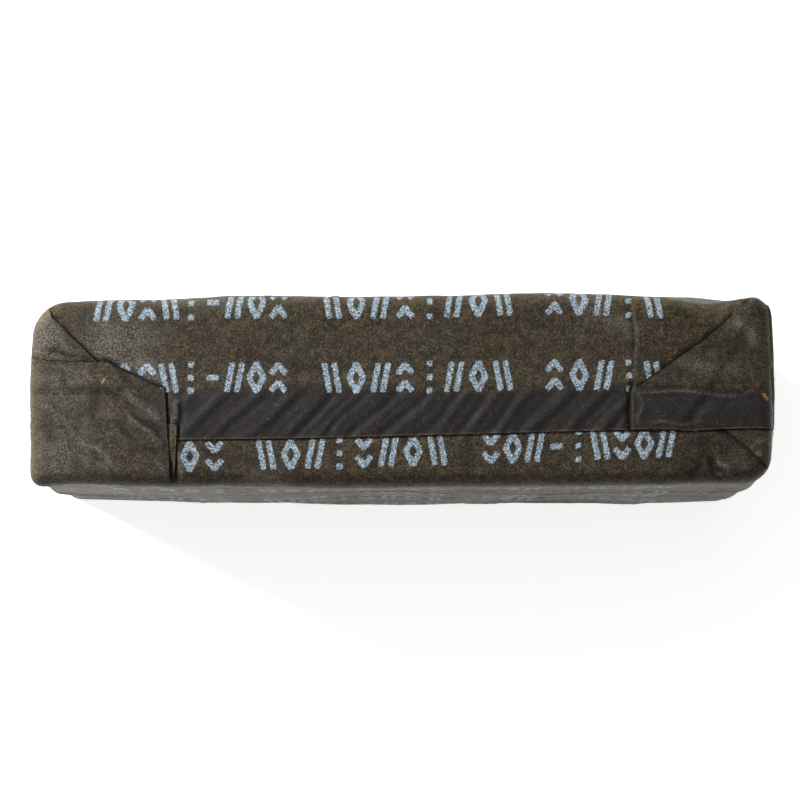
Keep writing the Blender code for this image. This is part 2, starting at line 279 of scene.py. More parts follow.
CORNER_FOLD = seen((705, 418), (722, 429), (735, 440), (748, 450), (760, 462), (772, 472))


def interpolate(path, axis, values):
    """A path's other coordinate at these values along one axis."""
    points = sorted(path, key=lambda point: point[axis])
    return np.interp(values, [p[axis] for p in points], [p[1 - axis] for p in points])


# Meshes
def add_mesh(name, vertices, faces, attributes, material):
    mesh = bpy.data.meshes.new(name)
    mesh.vertices.add(len(vertices))
    mesh.vertices.foreach_set("co", np.ascontiguousarray(vertices, np.float32).ravel())
    mesh.loops.add(len(faces) * 4)
    mesh.loops.foreach_set("vertex_index", np.ascontiguousarray(faces, np.int32).ravel())
    mesh.polygons.add(len(faces))
    mesh.polygons.foreach_set("loop_start", np.arange(0, len(faces) * 4, 4, dtype=np.int32))
    mesh.update(calc_edges=True)
    for key, values in attributes.items():
        layer = mesh.attributes.new(key, "FLOAT", "POINT")
        layer.data.foreach_set("value", np.ascontiguousarray(values, np.float32).ravel())
    mesh.shade_smooth()
    mesh.set_sharp_from_angle(angle=math.radians(55))
    mesh.materials.append(material)
    obj = bpy.data.objects.new(name, mesh)
    bpy.context.scene.collection.objects.link(obj)
    return obj


def grid_faces(rows, columns, start=0, flip=False):
    """The quads of a grid of vertices, row by row."""
    index = np.arange(rows * columns).reshape(rows, columns) + start
    quads = np.stack([index[:-1, :-1], index[:-1, 1:], index[1:, 1:], index[1:, :-1]], axis=-1)
    quads = quads.reshape(-1, 4)
    return quads[:, ::-1] if flip else quads


def closed_sheet(upper, lower):
    """Vertices and quads of a thin closed sheet from its two faces."""
    rows, columns = upper.shape[:2]
    count = rows * columns
    vertices = np.concatenate([upper.reshape(-1, 3), lower.reshape(-1, 3)])
    index = np.arange(count).reshape(rows, columns)
    ring = np.concatenate([index[0, :-1], index[:-1, -1], index[-1, :0:-1], index[:0:-1, 0]])
    after = np.roll(ring, -1)
    rim = np.stack([ring, ring + count, after + count, after], axis=-1)
    faces = np.concatenate([
        grid_faces(rows, columns),
        grid_faces(rows, columns, start=count, flip=True),
        rim,
    ])
    return vertices, faces


# The printed marks: strokes in shares of the mark's half width and height, as plain geometry
MARKS = {
    "slashes": [((-0.85, 0.10), (-0.25, 0.90)), ((0.25, 0.10), (0.85, 0.90))],
    "diamond": [
        ((0.0, 0.10), (0.80, 0.50)), ((0.80, 0.50), (0.0, 0.90)),
        ((0.0, 0.90), (-0.80, 0.50)), ((-0.80, 0.50), (0.0, 0.10)),
    ],
    "chevrons": [
        ((-0.80, 0.12), (0.0, 0.36)), ((0.0, 0.36), (0.80, 0.12)),
        ((-0.80, 0.62), (0.0, 0.88)), ((0.0, 0.88), (0.80, 0.62)),
    ],
    "dots": [((-0.25, 0.12), (0.25, 0.12)), ((-0.25, 0.50), (0.25, 0.50)), ((-0.25, 0.88), (0.25, 0.88))],
    "backslashes": [((-0.25, 0.10), (-0.85, 0.90)), ((0.85, 0.10), (0.25, 0.90))],
    "dash": [((-0.60, 0.50), (0.60, 0.50))],
}
# Groups of marks in a row: where the group starts, the step from mark to mark, and the marks
ROW_GROUPS = [
    (-43.5 * MM, 3.07 * MM, "slashes diamond chevrons backslashes dots dash slashes diamond chevrons"),
    (-11.6 * MM, 3.44 * MM, "backslashes diamond slashes chevrons dots slashes diamond backslashes"),
    (19.7 * MM, 3.48 * MM, "chevrons diamond slashes dots backslashes"),
]


def stroke_distance(x, y, begin, end):
    """Metres from each point to a straight bar with square ends. It is negative inside."""
    run_x = end[0] - begin[0]
    run_y = end[1] - begin[1]
    length = math.hypot(run_x, run_y)
    middle_x = (begin[0] + end[0]) / 2
    middle_y = (begin[1] + end[1]) / 2
    along = np.abs((x - middle_x) * run_x + (y - middle_y) * run_y) / length - length / 2
    across = np.abs((x - middle_x) * run_y - (y - middle_y) * run_x) / length - STROKE / 2
    return np.maximum(along - STROKE_OVERRUN * STROKE, across)


def print_distance(x, along):
    """Metres from each point to the nearest printed stroke. It is negative inside one."""
    row = np.floor((along + (ROW_PITCH - CAP_HEIGHT) / 2) / ROW_PITCH)
    up = along - row * ROW_PITCH
    distance = np.full(np.shape(x), NOTHING_NEAR)
    for start, pitch, marks in ROW_GROUPS:
        for index, mark in enumerate(marks.split()):
            middle = start + (index + 0.5) * pitch
            near = np.abs(x - middle) < pitch
            if not near.any():
                continue
            found = distance[near]
            for begin, end in MARKS[mark]:
                first = (begin[0] * MARK_WIDTH / 2, begin[1] * CAP_HEIGHT)
                last = (end[0] * MARK_WIDTH / 2, end[1] * CAP_HEIGHT)
                found = np.minimum(found, stroke_distance(x[near] - middle, up[near], first, last))
            distance[near] = found
    return distance


def back_print(x, along):
    """Print that reads from the front of the closure, row over row towards the back."""
    return np.where(along > BACK_PRINT_END, print_distance(x, along - BACK_BASELINE), NOTHING_NEAR)


def front_print(x, along):
    """Print on the front flap and face, turned half round."""
    slanted = FRONT_BASELINE + FRONT_ROW_SLANT * x - along
    return print_distance(FRONT_ROW_SHIFT - x, slanted)


# Where the sheets run on out of sight, along the packet or across it
FLAP_FOLD_INSET = 0.5 * MM  # how far the ends of a flap's fold are from the packet's ends
FRONT_FLAP_HALF_END = 50.0 * MM
BACK_FLAP_HALF_END = 37.5 * MM
FRONT_FLAP_END = 0.6 * MM
LEFT_CORNER_END = -40.0 * MM
LEFT_CORNER_LOW = 1.5 * MM
RIGHT_CORNER_END = 44.0 * MM
RIGHT_CORNER_HIGH = -3.0 * MM
UNDER_TUCK_END = -43.0 * MM
NARROWEST = 0.3 * MM
TUCK_HEM_PX = 482.5
UNDER_TUCK_PX = (477.0, 423.5)

# Creases and ridges of the closure: two ends in pixels, width in mm, height in mm (a groove is
# negative), all faded out towards the ends
CREASES = {
    "left_tuck": [
        ((45, 400), (90, 446), 0.35, 0.10), ((88, 372), (100, 392), 0.30, 0.08),
        ((124, 388), (163, 424), 0.45, 0.10), ((128, 404), (166, 440), 0.40, -0.10),
        ((130, 412), (166, 452), 0.45, 0.11), ((118, 424), (160, 462), 0.50, -0.09),
        ((95, 445), (122, 470), 0.35, 0.08), ((52, 452), (70, 474), 0.50, 0.07),
        ((97, 380), (97, 425), 0.90, -0.08), ((135, 440), (168, 470), 0.35, 0.08),
        ((42, 425), (60, 440), 0.60, -0.06), ((108, 455), (110, 480), 0.40, 0.06),
        ((46, 404), (66, 425), 0.30, 0.10), ((110, 392), (150, 432), 0.35, -0.08),
        ((118, 400), (158, 441), 0.30, 0.09), ((140, 426), (168, 452), 0.30, -0.09),
        ((62, 380), (84, 396), 0.50, -0.07), ((84, 440), (108, 456), 0.30, 0.08),
        ((72, 460), (98, 478), 0.60, -0.06), ((56, 368), (92, 374), 0.45, 0.06),
    ],
    "back_flap": [
        ((633, 300), (633, 388), 0.22, -0.10), ((636, 305), (635, 388), 0.30, 0.06),
        ((140, 350), (175, 392), 0.60, 0.07), ((96, 352), (135, 372), 0.50, 0.10),
        ((180, 398), (172, 425), 0.45, 0.10), ((183, 400), (178, 430), 0.40, -0.10),
        ((560, 300), (640, 340), 1.20, 0.06), ((660, 372), (640, 384), 0.30, -0.06),
        ((150, 300), (260, 312), 1.00, 0.06), ((96, 318), (130, 352), 1.20, 0.10),
    ],
    "front_flap": [
        ((418, 476), (417, 489), 0.40, 0.16), ((422, 478), (423, 489), 0.30, -0.12),
        ((715, 458), (729, 473), 0.28, 0.16), ((708, 460), (724, 478), 0.60, -0.18),
        ((700, 462), (690, 480), 0.60, -0.10), ((178, 440), (182, 476), 0.40, 0.10),
        ((500, 478), (540, 480), 0.80, -0.08), ((240, 474), (300, 478), 0.70, 0.07),
    ],
    "right_tuck": [
        ((640, 393), (745, 395), 0.22, 0.07), ((640, 390), (745, 391.5), 0.25, -0.07),
        ((650, 424), (700, 423), 0.25, 0.06), ((660, 360), (745, 372), 0.90, 0.06),
        ((735, 320), (760, 345), 0.80, 0.07), ((700, 352), (740, 340), 0.70, -0.05),
        ((640, 393), (640, 425), 0.25, 0.05),
    ],
    "left_corner_tuck": [
        ((45, 322), (60, 345), 0.60, 0.09), ((48, 352), (78, 356), 0.45, -0.10),
        ((60, 330), (85, 352), 0.60, -0.06),
    ],
    "right_corner_tuck": [((755, 452), (757, 466), 0.25, 0.14), ((765, 440), (748, 446), 0.40, 0.06)],
    "left_under_tuck": [((172, 430), (171, 470), 0.30, 0.06)],
}


def crease_height(name, x, y):
    total = np.zeros(np.shape(x))
    for begin, end, width, height in CREASES.get(name, []):
        (x1, y1), (x2, y2) = seen(begin, end)
        run = math.hypot(x2 - x1, y2 - y1)
        along = ((x - x1) * (x2 - x1) + (y - y1) * (y2 - y1)) / run**2
        away = ((x - x1) * (y2 - y1) - (y - y1) * (x2 - x1)) / run
        wander = 0.25 * MM * np.sin(along * 7.0 + x1 * 900)
        fade = smooth(-0.10, 0.20, along) * smooth(-0.10, 0.20, 1 - along)
        total += height * MM * np.exp(-(((away + wander) / (width * MM)) ** 2)) * fade
    return total


def seal_wrinkles(x, y):
    """The slanting puckers along the sealed overlap, from -1 in a valley to 1 on a ridge."""
    places = np.stack([x, y, np.zeros_like(x)], axis=-1)
    run = x - 0.95 * y + 1.1 * MM * noise(places, 6.0 * MM, 51)
    wave = 0.65 * np.sin(2 * math.pi * run / (4.4 * MM))
    wave = wave + 0.35 * np.sin(2 * math.pi * run / (2.3 * MM) + 1.3)
    wave = wave + 0.45 * noise(np.stack([run * 2.4, y * 0.8, y * 0], axis=-1), 2.6 * MM, 52)
    band = smooth(-6.6 * MM, -5.4 * MM, y) * smooth(1.6 * MM, -1.2 * MM, y)
    ends = smooth(-32.5 * MM, -30.5 * MM, x) * smooth(32.5 * MM, 31.5 * MM, x)
    return wave * band * ends


def crumple(places, normals):
    """The soft unevenness that all the paper shares."""
    height = 0.16 * noise(places, 11.0 * MM, 1) + 0.07 * noise(places, 4.2 * MM, 2)
    height += 0.035 * noise(places, 1.6 * MM, 3)
    steady = smooth(0.2 * MM, 6.0 * MM, places[..., 2])
    return places + normals * (height * steady * MM)[..., None]


def fine_relief(places, seed):
    return (0.020 * noise(places, 0.9 * MM, seed) + 0.010 * noise(places, 0.45 * MM, seed + 1)) * MM


def fold_wear_and_highlight(past, out_x, out_y, places):
    """Rubbed paper along the folds at the ends, most at the left end, and painted highlight along the
    back fold and in a thin line by the front fold, in uneven patches.
    """
    left = 0.8 * np.clip(-out_x, 0.0, 1.0) * np.exp(-(((past - 1.6 * MM) / (0.85 * MM)) ** 2))
    right = np.clip(out_x, 0.0, 1.0) * np.exp(-(((past - 1.5 * MM) / (0.75 * MM)) ** 2))
    # painted highlight: the back fold's rounding catching the light
    back = np.clip(out_y, 0.0, 1.0) * np.exp(-(((past - 1.2 * MM) / (0.60 * MM)) ** 2))
    # painted highlight: a thin light line along the front fold, towards the left end only
    front = np.clip(-out_y, 0.0, 1.0) * np.exp(-(((past - 2.3 * MM) / (0.22 * MM)) ** 2))
    front = front * smooth(-22 * MM, -32 * MM, places[..., 0])
    ridge = left + 0.5 * right + 0.42 * back + 0.8 * front
    patchy = 0.62 + 0.38 * noise(places, 2.6 * MM, 31)
    return ridge * np.clip(patchy, 0.0, 1.0)


def make_sheet(name, outline, grid, below, dips, raw_edges, options):
    """One folded sheet of the closure.

    grid holds its plan places, dips are the paths along which it curls down, painted dark
    there as shade, and raw_edges are its torn or cut edges, which show bare fibres."""
    x, y = grid
    offset = SHEET_BASE + SHEET_STEP * lift(x, y, below)
    creases = crease_height(name, x, y)
    offset = offset + CREASE_GAIN * creases
    # painted shade in the grooves of the creases
    painted_shade = 0.75 * np.clip(-creases / FULL_CREASE, 0.0, 1.0)
    # painted highlight on the ridges of the creases
    ridge_highlight = 0.70 * np.clip(creases / FULL_CREASE, 0.0, 1.0)
    if name == "back_flap":
        wrinkles = seal_wrinkles(x, y)
        offset = offset + WRINKLE_HEIGHT * wrinkles
        # painted shade in the valleys of the puckers
        painted_shade = np.maximum(painted_shade, 0.70 * np.clip(-wrinkles - 0.10, 0.0, 1.0))
        # a little painted highlight on the ridges of the puckers
        ridge_highlight = np.maximum(ridge_highlight, 0.10 * np.clip(wrinkles - 0.35, 0.0, 1.0))
    # along each dip the sheet curls down, and painted shade darkens the gap beside the edge above it
    for path, depth, width, painted_shade_width in dips:
        away = distance_to_path(x, y, path)
        offset = offset - depth * MM * np.exp(-((away / (width * MM)) ** 2))
        painted_shade = np.maximum(painted_shade, np.exp(-((away / (painted_shade_width * MM)) ** 4)))
    fibre = np.zeros(np.shape(x))
    for path in raw_edges:
        away = distance_to_path(x, y, path)
        fibre = np.maximum(fibre, np.exp(-((away / RAW_EDGE_WIDTH) ** 2)))
    past, out_x, out_y = past_flat(x, y)
    rooted = smooth(ROOT_BEGIN, ROOT_END, past)
    buried = SKIN - ROOT_SINK - ROOT_SLOPE * np.maximum(past - QUARTER_ARC - 0.6 * ROOT_LENGTH, 0.0)
    offset = offset * (1 - rooted) + buried * rooted
    faces = []
    for depth in (0.0, PAPER):
        places, normals = on_core(x, y, offset - depth)
        shaped = crumple(swell(places), normals)
        if depth == 0.0:
            shaped = shaped + normals * fine_relief(shaped, 20)[..., None]
            wear_and_highlight = fold_wear_and_highlight(past, out_x, out_y, shaped)
        faces.append(shaped)
    vertices, quads = closed_sheet(faces[0], faces[1])
    # the sealed band's dark, and painted shade where a sheet is drawn darker towards one side
    seal_and_painted_shade = options["seal_and_painted_shade"](x, y) if "seal_and_painted_shade" in options else np.zeros(np.shape(x))
    # painted sheen: grey light off the wax in patches, and on the crease ridges
    painted_sheen = np.maximum(options["painted_sheen"](x, y), ridge_highlight) if "painted_sheen" in options else ridge_highlight
    printed = options["printed"](x, y) if "printed" in options else np.full(np.shape(x), NOTHING_NEAR)
    # painted shade on the front rounding, which faces away from the light
    front_painted_shade = np.clip(-out_y, 0.0, 1.0) * smooth(0.0, 0.7 * MM, past) * 0.42
    painted_shade = np.maximum(painted_shade, front_painted_shade * (0.75 + 0.25 * noise(faces[0], 3.0 * MM, 61)))
    flake = np.full(np.shape(x), NOTHING_NEAR)
    for path, width in options.get("flakes", []):
        flake = np.minimum(flake, distance_to_path(x, y, path) - width * MM / 2)
    attributes = {
        "ink_distance": printed / MM,
        "ink_strength": np.ones(np.shape(x)),
        "painted_shade": painted_shade,
        "fibre": fibre,
        "wear_and_highlight": wear_and_highlight,
        "seal_and_painted_shade": seal_and_painted_shade,
        "painted_sheen": painted_sheen,
        "flake_distance": flake / MM,
    }
    doubled = {key: np.concatenate([np.ravel(v), np.ravel(v)]) for key, v in attributes.items()}
    rim = np.zeros((2, x.size), np.float32)
    rim[1] = 0.35
    doubled["fibre"] = np.maximum(doubled["fibre"], rim.ravel())
    piece = add_mesh("packet_" + name, vertices, quads, doubled, options["material"])
    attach(piece, "root")
    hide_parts(name)
    return piece


def span(low, high, cell):
    return np.linspace(low, high, max(2, int(round((high - low) / cell)) + 1))


def rows_between(stations, low, high, count):
    """A grid whose rows run from low to high at each station along X."""
    share = np.linspace(0.0, 1.0, count)[:, None]
    return (
        np.broadcast_to(stations[None, :], (count, len(stations))).copy(),
        low[None, :] * (1 - share) + high[None, :] * share,
    )


# Materials
def node(tree, kind, place, **settings):
    made = tree.nodes.new(kind)
    made.location = place
    for key, value in settings.items():
        setattr(made, key, value)
    return made


class Paper:
    """Builds one waxed paper material from small steps."""

    def __init__(self, name):
        self.material = bpy.data.materials.new(name)
        self.material.use_nodes = True
        self.tree = self.material.node_tree
        self.shader = self.tree.nodes["Principled BSDF"]
        self.coordinates = node(self.tree, "ShaderNodeTexCoord", (-1400, 0)).outputs["Object"]

    def link(self, value, socket):
        if isinstance(value, (int, float)):
            socket.default_value = value
        elif isinstance(value, tuple):
            socket.default_value = (*value, 1.0)
        else:
            self.tree.links.new(value, socket)

    def noise(self, size_mm, detail=2.0, roughness=0.5, distortion=0.0):
        made = node(self.tree, "ShaderNodeTexNoise", (-1200, 0))
        made.inputs["Scale"].default_value = 1.0 / (size_mm * MM)
        made.inputs["Detail"].default_value = detail
        made.inputs["Roughness"].default_value = roughness
        made.inputs["Distortion"].default_value = distortion
        self.tree.links.new(self.coordinates, made.inputs["Vector"])
        return made.outputs["Fac"]

    def attribute(self, name):
        return node(self.tree, "ShaderNodeAttribute", (-1200, 0), attribute_name=name).outputs["Fac"]

    def range(self, value, low, high, to_low=0.0, to_high=1.0):
        made = node(self.tree, "ShaderNodeMapRange", (-900, 0), interpolation_type="SMOOTHSTEP")
        self.link(value, made.inputs["Value"])
        made.inputs["From Min"].default_value = low
        made.inputs["From Max"].default_value = high
        made.inputs["To Min"].default_value = to_low
        made.inputs["To Max"].default_value = to_high
        return made.outputs["Result"]

    def math(self, operation, first, second=0.0):
        made = node(self.tree, "ShaderNodeMath", (-700, 0), operation=operation)
        self.link(first, made.inputs[0])
        self.link(second, made.inputs[1])
        return made.outputs[0]

    def mix(self, share, first, second):
        made = node(self.tree, "ShaderNodeMix", (-500, 0), data_type="RGBA")
        self.link(share, made.inputs["Factor"])
        self.link(first, made.inputs["A"])
        self.link(second, made.inputs["B"])
        return made.outputs["Result"]


BROWN_DARK = (0.009, 0.006, 0.003)
BROWN_LIGHT = (0.115, 0.074, 0.034)
OLIVE_DARK = (0.010, 0.008, 0.004)
OLIVE_LIGHT = (0.112, 0.085, 0.036)
BLUE_BLACK = (0.010, 0.012, 0.016)
TAN_FLECK = (0.150, 0.105, 0.050)
PAINTED_GLINT_PALE = (0.260, 0.250, 0.230)
SEAL_AND_SHADE_DARK = (0.010, 0.008, 0.009)
PAINTED_SHEEN_GREY = (0.260, 0.245, 0.220)
PAINTED_SHADE_DARK = (0.0035, 0.0028, 0.0022)
FIBRE_TAN = (0.250, 0.178, 0.076)
FLAKE_ORANGE = (0.340, 0.190, 0.080)
LOOSE_FIBRE_TAN = (0.360, 0.280, 0.160)
INK_BLUE = (0.230, 0.370, 0.480)
INK_PALE = (0.640, 0.760, 0.860)


def waxed_paper(name, painted_sheen_share):
    paper = Paper(name)
    hue = paper.range(paper.noise(5.0, 3.0, 0.6), 0.40, 0.60)
    dark = paper.mix(hue, BROWN_DARK, OLIVE_DARK)
    light = paper.mix(hue, BROWN_LIGHT, OLIVE_LIGHT)
    clumps = paper.math("MULTIPLY", paper.math("SUBTRACT", paper.noise(1.1, 3.0, 0.65), 0.5), 0.35)
    grain = paper.math("ADD", paper.noise(0.25, 3.0, 0.8, 0.5), clumps)
    color = paper.mix(paper.range(grain, 0.43, 0.63), dark, light)
    cool = paper.noise(0.75, 3.0, 0.7, 0.2)
    color = paper.mix(paper.range(cool, 0.52, 0.66, 0.0, 0.70), color, BLUE_BLACK)
    fleck = paper.noise(0.42, 2.0, 0.6, 0.4)
    color = paper.mix(paper.range(fleck, 0.62, 0.74, 0.0, 0.60), color, TAN_FLECK)
    # painted sheen: the sheen grey laid over the whole material by this share
    color = paper.mix(painted_sheen_share, color, PAINTED_SHEEN_GREY)
    # the sealed band's dark, and painted shade
    seal_and_painted_shade = paper.attribute("seal_and_painted_shade")
    seal_and_painted_shade_share = paper.math("MULTIPLY", seal_and_painted_shade, paper.range(grain, 0.46, 0.72, 0.98, 0.66))
    color = paper.mix(seal_and_painted_shade_share, color, SEAL_AND_SHADE_DARK)
    # painted sheen, broken up into fine glints
    painted_glints = paper.range(paper.noise(0.21, 2.0, 0.7), 0.46, 0.62, 0.06, 1.0)
    painted_sheen = paper.math("MULTIPLY", paper.attribute("painted_sheen"), painted_glints)
    color = paper.mix(painted_sheen, color, PAINTED_SHEEN_GREY)
    # painted glints: small pale specks of light off the wax all over the paper
    glint_speck = paper.noise(0.24, 1.0, 0.5)
    color = paper.mix(paper.range(glint_speck, 0.70, 0.79, 0.0, 0.55), color, PAINTED_GLINT_PALE)
    fuzz = paper.noise(0.34, 3.0, 0.75, 1.2)
    # rubbed paper and bare fibres at the folds and edges, with painted highlight along the back and front
    # folds
    wear_and_highlight = paper.math("MULTIPLY", paper.attribute("wear_and_highlight"), paper.range(fuzz, 0.42, 0.60, 0.10, 1.0))
    fibre = paper.math("MULTIPLY", paper.attribute("fibre"), paper.range(fuzz, 0.46, 0.60, 0.10, 0.55))
    color = paper.mix(paper.math("MAXIMUM", wear_and_highlight, fibre), color, FIBRE_TAN)
    # painted shade: seams, gaps and grooves darkened almost to black
    color = paper.mix(paper.math("MULTIPLY", paper.attribute("painted_shade"), 0.93), color, PAINTED_SHADE_DARK)
    flake = paper.range(paper.attribute("flake_distance"), 0.04, -0.04)
    color = paper.mix(flake, color, FLAKE_ORANGE)
    ragged = paper.math("MULTIPLY", paper.math("SUBTRACT", paper.noise(0.22, 2.0, 0.7), 0.5), 0.50)
    stroke = paper.math("ADD", paper.attribute("ink_distance"), ragged)
    solid = paper.range(stroke, 0.05, -0.05)
    worn = paper.range(paper.noise(0.21, 2.0, 0.8, 0.8), 0.44, 0.54, 0.08, 1.0)
    ink = paper.math("MULTIPLY", paper.math("MULTIPLY", solid, worn), paper.attribute("ink_strength"))
    # the print fades out inside the painted shade
    clear_of_painted_shade = paper.range(paper.attribute("painted_shade"), 0.85, 0.55)
    ink = paper.math("MULTIPLY", ink, clear_of_painted_shade)
    ink_color = paper.mix(paper.range(paper.noise(0.30, 3.0, 0.7), 0.36, 0.62), INK_BLUE, INK_PALE)
    color = paper.mix(ink, color, ink_color)
    paper.link(color, paper.shader.inputs["Base Color"])

    rough = paper.range(paper.noise(0.8, 3.0, 0.6), 0.3, 0.7, 0.46, 0.64)
    rough = paper.math("SUBTRACT", rough, paper.math("MULTIPLY", seal_and_painted_shade, 0.06))
    rough = paper.math("MAXIMUM", rough, paper.math("MULTIPLY", ink, 0.75))
    rough = paper.math("MAXIMUM", rough, paper.math("MULTIPLY", paper.attribute("painted_shade"), 0.9))
    paper.link(rough, paper.shader.inputs["Roughness"])
    paper.shader.inputs["Specular IOR Level"].default_value = 0.32

    tooth = paper.math("ADD", paper.noise(0.20, 2.0, 0.7), paper.math("MULTIPLY", grain, 1.2))
    bump = node(paper.tree, "ShaderNodeBump", (-300, -400))
    bump.inputs["Strength"].default_value = 0.90
    bump.inputs["Distance"].default_value = 0.06 * MM
    paper.link(tooth, bump.inputs["Height"])
    paper.link(bump.outputs["Normal"], paper.shader.inputs["Normal"])
    return paper.material


def plain_material(name, color, roughness):
    material = bpy.data.materials.new(name)
    material.use_nodes = True
    shader = material.node_tree.nodes["Principled BSDF"]
    shader.inputs["Base Color"].default_value = (*color, 1.0)
    shader.inputs["Roughness"].default_value = roughness
    return material


# The packet's wrapper round the pad
def outline_points(grow, stops):
    """The plan outline at each stop, and the way out of it. A stop is a side or corner and a share."""
    places = []
    outs = []
    for kind, share in stops:
        side_x, side_y, outer, start = {
            "front_right": (1, -1, CORNER_FRONT_RIGHT, -90),
            "back_right": (1, 1, CORNER_BACK_RIGHT, 0),
            "back_left": (-1, 1, CORNER_BACK_LEFT, 90),
            "front_left": (-1, -1, CORNER_FRONT_LEFT, 180),
        }[kind]
        radius = max(outer - SKIN, EDGE_ROUND) + grow
        turn = math.radians(start + 90 * share)
        centre = (side_x * (HALF_X + grow - radius), side_y * (HALF_Y + grow - radius))
        outs.append((math.cos(turn), math.sin(turn)))
        places.append((centre[0] + radius * outs[-1][0], centre[1] + radius * outs[-1][1]))
    return np.array(places), np.array(outs)


CORNER_NAMES = ("front_right", "back_right", "back_left", "front_left")
ARC_CELLS = 9
SEAM_STOPS = (-0.30, -0.12, -0.03, 0.03, 0.12, 0.30)  # mm either side of the lengthwise seam


def outline_ring(grow):
    """A closed ring round the packet with fine, even cells."""
    places = []
    outs = []
    for index, kind in enumerate(CORNER_NAMES):
        stops = [(kind, step / ARC_CELLS) for step in range(ARC_CELLS + 1)]
        arc, arc_out = outline_points(grow, stops)
        following = CORNER_NAMES[(index + 1) % 4]
        after, _ = outline_points(grow, [(following, 0.0)])
        run = after[0] - arc[-1]
        full, _ = outline_points(0.0, [(kind, 1.0), (following, 0.0)])
        count = int(round(np.linalg.norm(full[1] - full[0]) / WALL_CELL))
        shares = list(np.linspace(0.0, 1.0, count + 1)[1:-1])
        if kind == "front_right":
            hem = RIGHT_HEM[-1][1]
            shares += [(hem + stop * MM - arc[-1][1]) / run[1] for stop in SEAM_STOPS]
            shares.sort()
        places += list(arc) + [arc[-1] + run * share for share in shares]
        outs += list(arc_out) + [arc_out[-1]] * len(shares)
    return np.array(places), np.array(outs)


def make_wrapper(material):
    rings = []
    tilts = []
    caps = (0.97, 0.85, 0.70, 0.55, 0.40, 0.27, 0.15, 0.06)
    turns = [math.pi / 2 * step / 7 for step in range(8)]

    def cap(share, inset, level, up):
        ring, out = outline_ring(-inset)
        shrink = 1 - share * (HALF_Y - inset) / (HALF_X - inset)
        flat = np.full(len(ring), level)
        rings.append(np.column_stack([ring[:, 0] * shrink, ring[:, 1] * (1 - share), flat]))
        tilts.append(np.column_stack([np.zeros_like(out), np.full(len(out), up)]))

    def wall(grow, level, tilt):
        ring, out = outline_ring(grow)
        rings.append(np.column_stack([ring, np.full(len(ring), level)]))
        tilts.append(np.column_stack([out * math.cos(tilt), np.full(len(out), math.sin(tilt))]))

    for share in caps:
        cap(share, EDGE_ROUND - SKIN, 0.0, -1.0)
    for turn in turns:
        grow = SKIN - EDGE_ROUND * (1 - math.sin(turn))
        wall(grow, EDGE_ROUND * (1 - math.cos(turn)), turn - math.pi / 2)
    shoulder = TOP_LEVEL - EDGE_ROUND
    levels = span(EDGE_ROUND, shoulder, WALL_CELL)
    for level in levels[1:]:
        wall(SKIN, level, 0.0)
    top_inset = 0.10 * MM
    for turn in reversed(turns[:-1]):
        grow = SKIN - (EDGE_ROUND + SKIN - top_inset) * (1 - math.sin(turn))
        level = shoulder + (EDGE_ROUND + top_inset) * math.cos(turn)
        wall(grow, level, math.pi / 2 - turn)
    for share in reversed(caps):
        cap(share, EDGE_ROUND - top_inset, TOP_LEVEL + top_inset, 1.0)
    places = np.array(rings)
    normals = np.array(tilts)
    x, y, z = places[..., 0], places[..., 1], places[..., 2]

    end_wall = (normals[..., 0] > 0.8) & (np.abs(normals[..., 2]) < 0.5)
    hem = RIGHT_HEM[-1][1] + 0.12 * MM * noise(places, 5.0 * MM, 9)
    overlap = smooth(-0.05 * MM, 0.05 * MM, y - hem) * end_wall * smooth(0.0, 3.0 * MM, z)
    shaped = crumple(swell(places), normals)
    shaped = shaped + normals * (fine_relief(shaped, 20) + 0.22 * MM * overlap)[..., None]
    shaped = shaped + normals * (wall_creases(x, y, z, normals) * smooth(0.0, 4.0 * MM, z))[..., None]
    shaped[..., 2] = np.maximum(shaped[..., 2], 0.0)

    facing_back = normals[..., 1] > 0.3
    facing_front = normals[..., 1] < -0.3
    down = FLAT_Y + QUARTER_ARC + np.maximum(shoulder - z, 0.0)
    past_top = z > shoulder + WALL_PRINT_PAST
    printed = np.where(facing_back, back_print(x, down), NOTHING_NEAR)
    printed = np.where(facing_front, front_print(x, -down), printed)
    printed = np.where(past_top | (z < WALL_PRINT_LOW), NOTHING_NEAR, printed)
    radius_edges = np.minimum(z, np.abs(shoulder - z))
    corner = np.abs(normals[..., 0] * normals[..., 1]) * 2
    wear_and_highlight = np.exp(-((radius_edges / (0.9 * MM)) ** 2)) * (normals[..., 2] < 0.7)
    wear_and_highlight = np.maximum(wear_and_highlight * 0.8, corner * 0.5)
    wear_and_highlight = wear_and_highlight * np.clip(0.5 + 0.5 * noise(shaped, 3.0 * MM, 33), 0, 1)
    hem_line = np.exp(-(((y - hem) / (0.15 * MM)) ** 2)) * end_wall
    attributes = {
        "ink_distance": printed / MM,
        "ink_strength": np.full_like(x, WALL_INK),
        "flake_distance": np.full_like(x, NOTHING_NEAR / MM),
        # painted shade along the low side of the overlap's hem on the right end, and bare fibres along
        # its high side
        "painted_shade": 0.7 * hem_line * (y < hem),
        "fibre": hem_line * (y >= hem),
        "wear_and_highlight": wear_and_highlight,
        "seal_and_painted_shade": np.zeros_like(x),
        # painted sheen in loose patches on the walls
        "painted_sheen": 0.25 * np.clip(noise(shaped, 9.0 * MM, 35), 0, 1),
    }
    rows, columns = x.shape
    index = np.arange(rows * columns).reshape(rows, columns)
    quads = np.stack([
        index[:-1], np.roll(index[:-1], -1, axis=1), np.roll(index[1:], -1, axis=1), index[1:],
    ], axis=-1).reshape(-1, 4)
    vertices = shaped.reshape(-1, 3)
    piece = add_mesh("packet_wrapper", vertices, quads, attributes, material)
    close_caps(piece.data)
    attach(piece, "root")
    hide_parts("wrapped_pad")
    return piece


